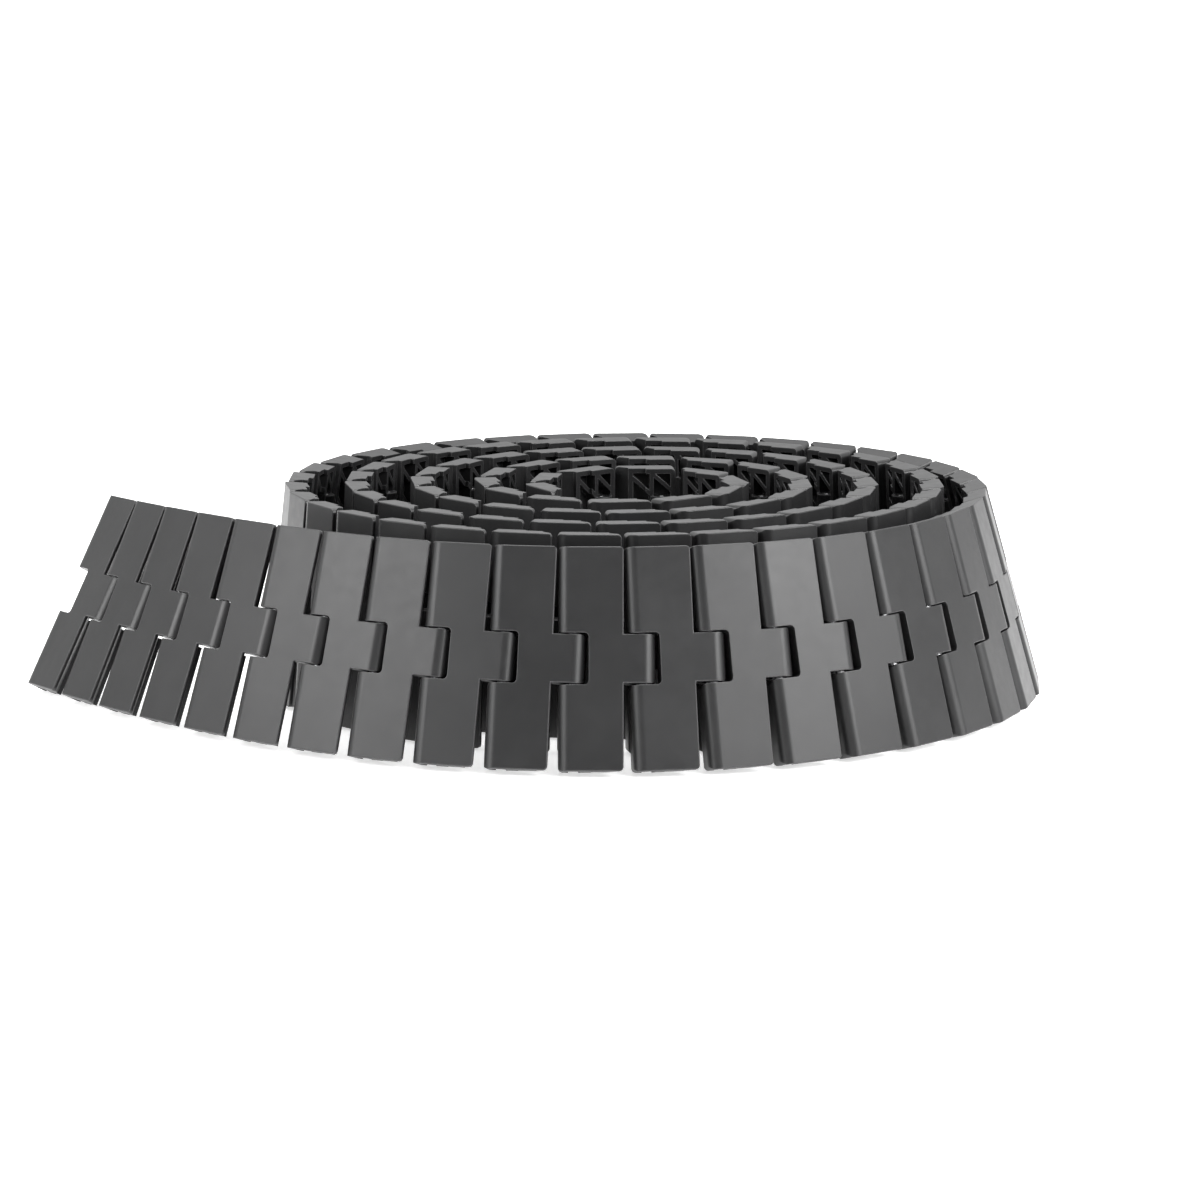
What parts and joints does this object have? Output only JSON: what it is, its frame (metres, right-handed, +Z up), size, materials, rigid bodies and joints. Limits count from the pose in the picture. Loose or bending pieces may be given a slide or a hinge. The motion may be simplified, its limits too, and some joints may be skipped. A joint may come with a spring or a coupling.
{
  "type": "conveyor chain",
  "caption": "Side-flexing table-top conveyor chain of hinged plastic plates on steel pins, wound loosely into a coil that stands on its edge.",
  "frame": {"origin": "centre of the bounding box's base, on the ground the coil stands on", "axes": "+Z up along the plate width of an upright link, +X to the right along the front row of plates, +Y from the front row to the back of the coil; the free outer end is at -X"},
  "size_m": [0.4056, 0.3322, 0.0831],
  "materials": {
    "plate_plastic": "satin",
    "pin_steel": "ground"
  },
  "bodies": {
    "coil": {"coil_turn_1_links": "plate_plastic", "coil_turn_1_pins": "pin_steel", "coil_turn_2_links": "plate_plastic", "coil_turn_2_pins": "pin_steel", "coil_turn_3_links": "plate_plastic", "coil_turn_3_pins": "pin_steel", "coil_turn_4_links": "plate_plastic", "coil_turn_4_pins": "pin_steel", "coil_turn_5_links": "plate_plastic", "coil_turn_5_pins": "pin_steel"},
    "link_24": {"link_24": "plate_plastic", "pin_24": "pin_steel"},
    "link_23": {"link_23": "plate_plastic", "pin_23": "pin_steel"},
    "link_22": {"link_22": "plate_plastic", "pin_22": "pin_steel"},
    "link_21": {"link_21": "plate_plastic", "pin_21": "pin_steel"},
    "link_20": {"link_20": "plate_plastic", "pin_20": "pin_steel"},
    "link_19": {"link_19": "plate_plastic", "pin_19": "pin_steel"},
    "link_18": {"link_18": "plate_plastic", "pin_18": "pin_steel"},
    "link_17": {"link_17": "plate_plastic", "pin_17": "pin_steel"},
    "link_16": {"link_16": "plate_plastic", "pin_16": "pin_steel"},
    "link_15": {"link_15": "plate_plastic", "pin_15": "pin_steel"},
    "link_14": {"link_14": "plate_plastic", "pin_14": "pin_steel"},
    "link_13": {"link_13": "plate_plastic", "pin_13": "pin_steel"},
    "link_12": {"link_12": "plate_plastic", "pin_12": "pin_steel"},
    "link_11": {"link_11": "plate_plastic", "pin_11": "pin_steel"},
    "link_10": {"link_10": "plate_plastic", "pin_10": "pin_steel"},
    "link_09": {"link_09": "plate_plastic", "pin_09": "pin_steel"},
    "link_08": {"link_08": "plate_plastic", "pin_08": "pin_steel"},
    "link_07": {"link_07": "plate_plastic", "pin_07": "pin_steel"},
    "link_06": {"link_06": "plate_plastic", "pin_06": "pin_steel"},
    "link_05": {"link_05": "plate_plastic", "pin_05": "pin_steel"},
    "link_04": {"link_04": "plate_plastic", "pin_04": "pin_steel"},
    "link_03": {"link_03": "plate_plastic", "pin_03": "pin_steel"},
    "link_02": {"link_02": "plate_plastic", "pin_02": "pin_steel"},
    "link_01": {"link_01": "plate_plastic"}
  },
  "joints": [
    {"name": "hinge_25", "type": "hinge", "parent": "coil", "child": "link_24", "pos_m": [0.15197, 0.09655, 0.04047], "axis": [-0.191, -0.1878, 0.9635], "range_deg": [0, 22]},
    {"name": "hinge_24", "type": "hinge", "parent": "link_24", "child": "link_23", "pos_m": [0.16631, 0.07558, 0.04046], "axis": [-0.2222, -0.1526, 0.963], "range_deg": [0, 22]},
    {"name": "hinge_23", "type": "hinge", "parent": "link_23", "child": "link_22", "pos_m": [0.17679, 0.05245, 0.04044], "axis": [-0.2467, -0.1125, 0.9625], "range_deg": [0, 21.9]},
    {"name": "hinge_22", "type": "hinge", "parent": "link_22", "child": "link_21", "pos_m": [0.18314, 0.02785, 0.04043], "axis": [-0.2639, -0.0687, 0.9621], "range_deg": [0, 21.9]},
    {"name": "hinge_21", "type": "hinge", "parent": "link_21", "child": "link_20", "pos_m": [0.18518, 0.00254, 0.04042], "axis": [-0.2732, -0.0225, 0.9617], "range_deg": [0, 21.8]},
    {"name": "hinge_20", "type": "hinge", "parent": "link_20", "child": "link_19", "pos_m": [0.18288, -0.02276, 0.0404], "axis": [-0.2745, 0.0245, 0.9613], "range_deg": [0, 21.8]},
    {"name": "hinge_19", "type": "hinge", "parent": "link_19", "child": "link_18", "pos_m": [0.17631, -0.0473, 0.04039], "axis": [-0.2677, 0.0711, 0.9609], "range_deg": [0, 21.7]},
    {"name": "hinge_18", "type": "hinge", "parent": "link_18", "child": "link_17", "pos_m": [0.16571, -0.07038, 0.04038], "axis": [-0.2531, 0.1158, 0.9605], "range_deg": [0, 21.7]},
    {"name": "hinge_17", "type": "hinge", "parent": "link_17", "child": "link_16", "pos_m": [0.15138, -0.09135, 0.04036], "axis": [-0.2313, 0.1574, 0.9601], "range_deg": [0, 21.6]},
    {"name": "hinge_16", "type": "hinge", "parent": "link_16", "child": "link_15", "pos_m": [0.13376, -0.10964, 0.04035], "axis": [-0.2029, 0.1947, 0.9596], "range_deg": [0, 21.5]},
    {"name": "hinge_15", "type": "hinge", "parent": "link_15", "child": "link_14", "pos_m": [0.11335, -0.12477, 0.04033], "axis": [-0.1688, 0.2268, 0.9592], "range_deg": [0, 21.4]},
    {"name": "hinge_14", "type": "hinge", "parent": "link_14", "child": "link_13", "pos_m": [0.09074, -0.13635, 0.04032], "axis": [-0.1302, 0.2529, 0.9587], "range_deg": [0, 21.3]},
    {"name": "hinge_13", "type": "hinge", "parent": "link_13", "child": "link_12", "pos_m": [0.06656, -0.14411, 0.0403], "axis": [-0.0881, 0.2723, 0.9582], "range_deg": [0, 21.2]},
    {"name": "hinge_12", "type": "hinge", "parent": "link_12", "child": "link_11", "pos_m": [0.04145, -0.14792, 0.04028], "axis": [-0.0441, 0.285, 0.9575], "range_deg": [0, 21]},
    {"name": "hinge_11", "type": "hinge", "parent": "link_11", "child": "link_10", "pos_m": [0.01605, -0.14777, 0.04025], "axis": [0.0006, 0.2912, 0.9567], "range_deg": [0, 20.6]},
    {"name": "hinge_10", "type": "hinge", "parent": "link_10", "child": "link_09", "pos_m": [-0.00904, -0.14381, 0.04021], "axis": [0.0446, 0.2914, 0.9555], "range_deg": [0, 20.2]},
    {"name": "hinge_09", "type": "hinge", "parent": "link_09", "child": "link_08", "pos_m": [-0.03331, -0.13631, 0.04016], "axis": [0.0867, 0.2871, 0.954], "range_deg": [0, 19.6]},
    {"name": "hinge_08", "type": "hinge", "parent": "link_08", "child": "link_07", "pos_m": [-0.05637, -0.12566, 0.04008], "axis": [0.1261, 0.2802, 0.9516], "range_deg": [0, 18.8]},
    {"name": "hinge_07", "type": "hinge", "parent": "link_07", "child": "link_06", "pos_m": [-0.078, -0.11234, 0.03996], "axis": [0.163, 0.2731, 0.9481], "range_deg": [-1, 17.9]},
    {"name": "hinge_06", "type": "hinge", "parent": "link_06", "child": "link_05", "pos_m": [-0.09813, -0.09686, 0.03978], "axis": [0.198, 0.2685, 0.9427], "range_deg": [-3, 17]},
    {"name": "hinge_05", "type": "hinge", "parent": "link_05", "child": "link_04", "pos_m": [-0.11684, -0.07968, 0.0395], "axis": [0.2327, 0.2684, 0.9348], "range_deg": [-6, 16.1]},
    {"name": "hinge_04", "type": "hinge", "parent": "link_04", "child": "link_03", "pos_m": [-0.13427, -0.06121, 0.03911], "axis": [0.2689, 0.2736, 0.9235], "range_deg": [-10, 15.3]},
    {"name": "hinge_03", "type": "hinge", "parent": "link_03", "child": "link_02", "pos_m": [-0.15061, -0.04177, 0.03858], "axis": [0.3072, 0.2827, 0.9087], "range_deg": [-14, 14.7]},
    {"name": "hinge_02", "type": "hinge", "parent": "link_02", "child": "link_01", "pos_m": [-0.166, -0.02157, 0.03795], "axis": [0.347, 0.2924, 0.8911], "range_deg": [-25, 14.3]}
  ]
}
